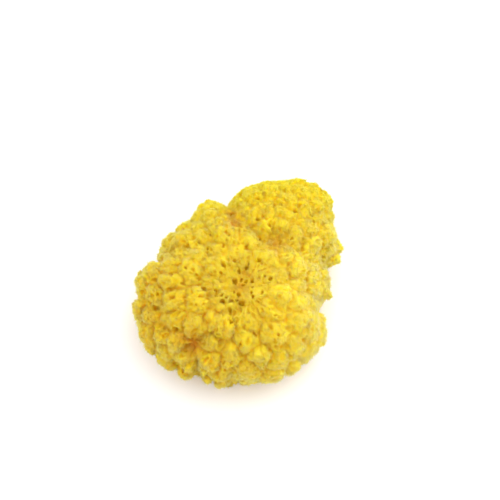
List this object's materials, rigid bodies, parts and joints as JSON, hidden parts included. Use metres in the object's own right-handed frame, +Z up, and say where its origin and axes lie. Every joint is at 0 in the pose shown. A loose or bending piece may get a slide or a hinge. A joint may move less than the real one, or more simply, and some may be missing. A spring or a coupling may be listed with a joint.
{
  "type": "natural sponge",
  "caption": "Dry natural bath sponge: a low two-lobed cushion of close tufts with large pores on its crown, cut flat underneath to rest on.",
  "frame": {"origin": "middle of the outer box, on the flat cut that the sponge rests on", "axes": "+Z up from the cut, +X to the picture's right, -Y towards the picture's lower edge"},
  "size_m": [0.109, 0.1123, 0.0545],
  "materials": {
    "yellow_spongin": "matt"
  },
  "bodies": {
    "root": {"sponge": "yellow_spongin"}
  },
  "joints": []
}
